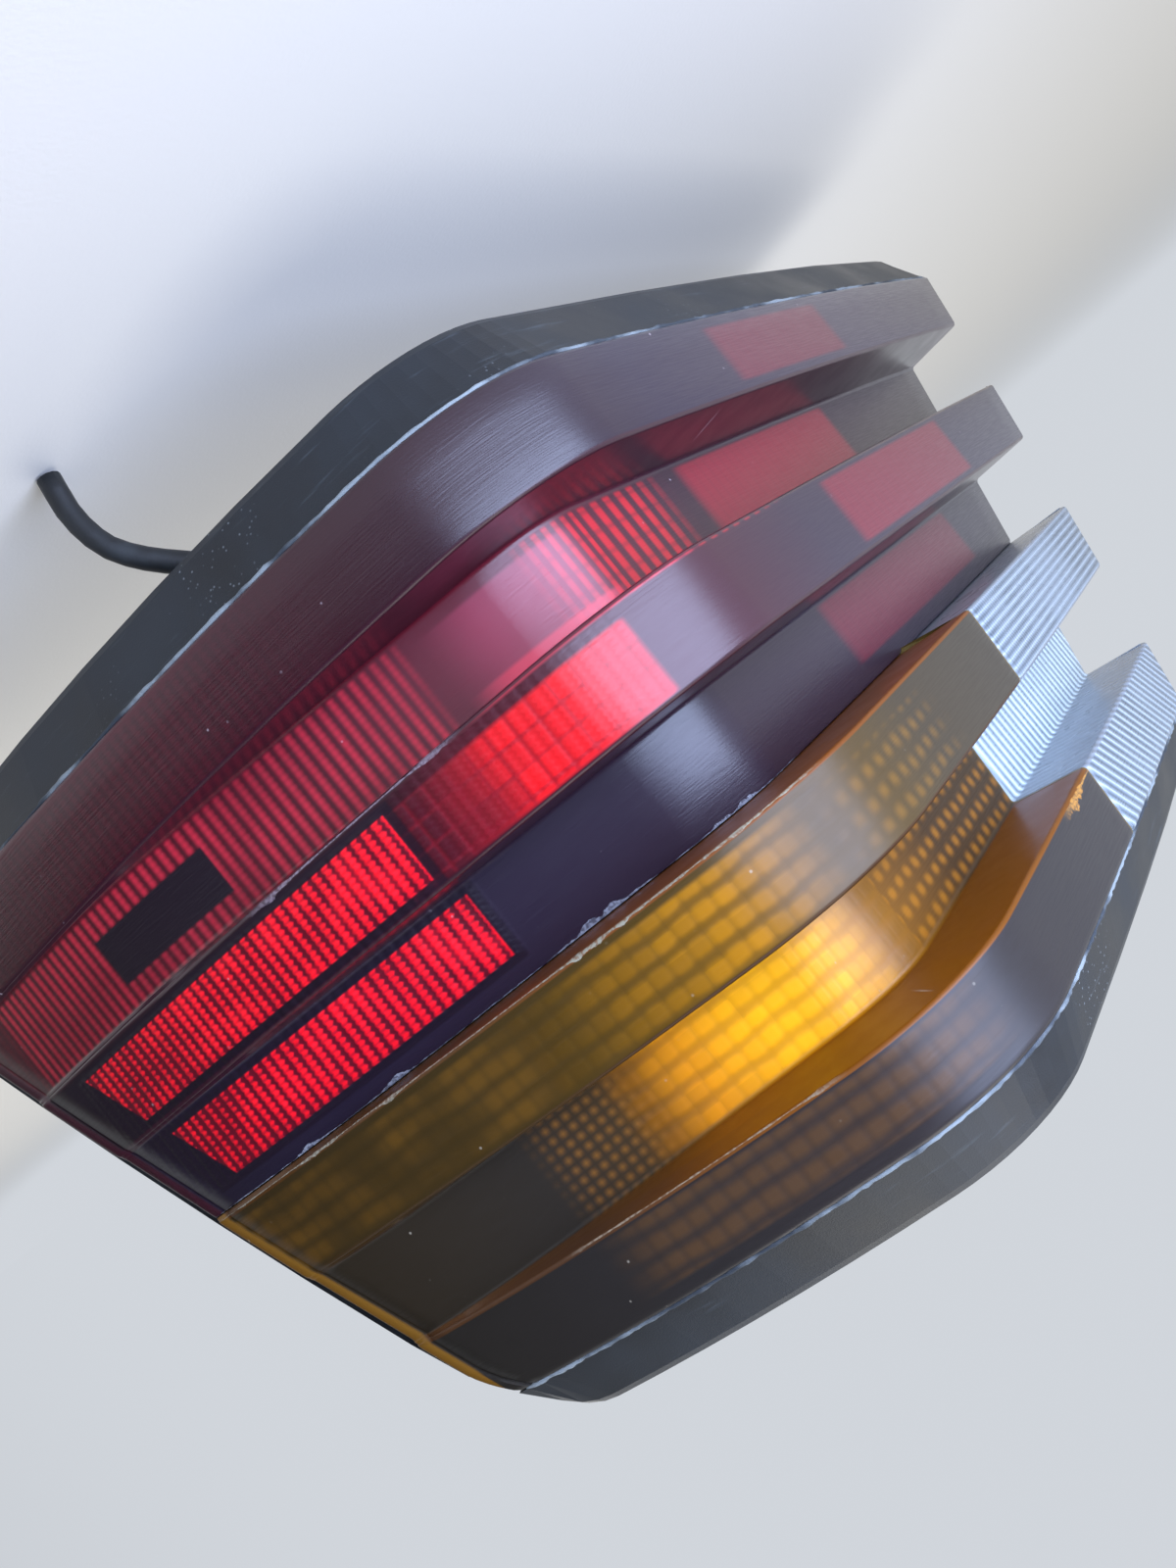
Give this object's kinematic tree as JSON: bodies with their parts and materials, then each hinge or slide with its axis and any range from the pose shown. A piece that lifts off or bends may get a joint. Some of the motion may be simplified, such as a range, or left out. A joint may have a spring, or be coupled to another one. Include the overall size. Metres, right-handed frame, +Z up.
{
  "type": "car rear corner lamp",
  "caption": "Right-hand rear corner lamp: ribbed red, amber and clear lens bent round a car's corner, on a black tray with a bulb plate that slides out at the back.",
  "frame": {"origin": "middle of the body seal's lower run, on the face that meets the car body", "axes": "+X towards the side of the car, along the rear face; +Y forward into the car body; +Z up"},
  "size_m": [0.3706, 0.222, 0.2344],
  "materials": {
    "red_acrylic": "moulded, glossy, prisms inside",
    "amber_acrylic": "moulded, glossy, prisms inside",
    "clear_acrylic": "moulded, glossy, fluted inside",
    "black_abs": "moulded, satin, dusty",
    "white_abs": "moulded, satin",
    "grey_abs": "moulded, satin",
    "black_rubber": "moulded, matt",
    "foam_seal": "closed-cell foam",
    "zinc_steel": "zinc plated",
    "brass": "stamped, dull",
    "clear_glass": "blown, clear",
    "amber_glass": "blown, amber tinted"
  },
  "bodies": {
    "lamp_housing": {"lens_red": "red_acrylic", "lens_amber": "amber_acrylic", "lens_clear": "clear_acrylic", "reflex_plate_upper": "red_acrylic", "reflex_plate_lower": "red_acrylic", "lens_seal": "black_rubber", "housing": "black_abs", "vent_cap": "black_rubber", "drain_spout": "black_rubber", "body_seal": "foam_seal", "stud_1": "zinc_steel", "washer_1": "zinc_steel", "nut_1": "zinc_steel", "stud_2": "zinc_steel", "washer_2": "zinc_steel", "nut_2": "zinc_steel", "stud_3": "zinc_steel", "washer_3": "zinc_steel", "nut_3": "zinc_steel", "stud_4": "zinc_steel", "washer_4": "zinc_steel", "nut_4": "zinc_steel", "reflector_turn": "white_abs", "reflector_reverse": "white_abs", "reflector_tail": "white_abs", "reflector_stop": "white_abs", "reflector_fog": "white_abs", "reflector_side": "white_abs"},
    "bulb_carrier": {"bulb_plate": "grey_abs", "plate_seal": "foam_seal", "holder_turn": "zinc_steel", "holder_reverse": "zinc_steel", "holder_tail": "zinc_steel", "holder_stop": "zinc_steel", "holder_fog": "zinc_steel", "latch_pin_lower": "zinc_steel", "latch_pin_upper": "zinc_steel", "connector_socket": "black_abs", "contact_blade_1": "brass", "contact_blade_2": "brass", "contact_blade_3": "brass", "contact_blade_4": "brass", "contact_blade_5": "brass", "contact_blade_6": "brass", "contact_track": "brass"},
    "bulb_turn": {"cap_turn": "brass", "glass_turn": "amber_glass"},
    "bulb_reverse": {"cap_reverse": "brass", "glass_reverse": "clear_glass"},
    "bulb_tail": {"cap_tail": "brass", "glass_tail": "clear_glass"},
    "bulb_stop": {"cap_stop": "brass", "glass_stop": "clear_glass"},
    "bulb_fog": {"cap_fog": "brass", "glass_fog": "clear_glass"},
    "latch_arm_lower": {"latch_lower": "black_abs"},
    "latch_arm_upper": {"latch_upper": "black_abs"}
  },
  "joints": [
    {"name": "carrier_slide", "type": "slide", "parent": "lamp_housing", "child": "bulb_carrier", "axis": [0, 1, 0], "range_m": [0, 0.08]},
    {"name": "bulb_turn_turn", "type": "hinge", "parent": "bulb_carrier", "child": "bulb_turn", "pos_m": [0.0865, -0.006, 0.125], "axis": [0, 1, 0], "range_deg": [-18, 0]},
    {"name": "bulb_reverse_turn", "type": "hinge", "parent": "bulb_carrier", "child": "bulb_reverse", "pos_m": [0.0205, -0.006, 0.125], "axis": [0, 1, 0], "range_deg": [-18, 0]},
    {"name": "bulb_tail_turn", "type": "hinge", "parent": "bulb_carrier", "child": "bulb_tail", "pos_m": [0.0945, -0.006, 0.0445], "axis": [0, 1, 0], "range_deg": [-18, 0]},
    {"name": "bulb_stop_turn", "type": "hinge", "parent": "bulb_carrier", "child": "bulb_stop", "pos_m": [0.0525, -0.006, 0.0445], "axis": [0, 1, 0], "range_deg": [-18, 0]},
    {"name": "bulb_fog_turn", "type": "hinge", "parent": "bulb_carrier", "child": "bulb_fog", "pos_m": [0.0105, -0.006, 0.0445], "axis": [0, 1, 0], "range_deg": [-18, 0]},
    {"name": "latch_lower_swing", "type": "hinge", "parent": "bulb_carrier", "child": "latch_arm_lower", "pos_m": [-0.0245, 0.004, 0.046], "axis": [0, 0, 1], "range_deg": [-25, 0]},
    {"name": "latch_upper_swing", "type": "hinge", "parent": "bulb_carrier", "child": "latch_arm_upper", "pos_m": [-0.0245, 0.004, 0.101], "axis": [0, 0, 1], "range_deg": [-25, 0]}
  ]
}
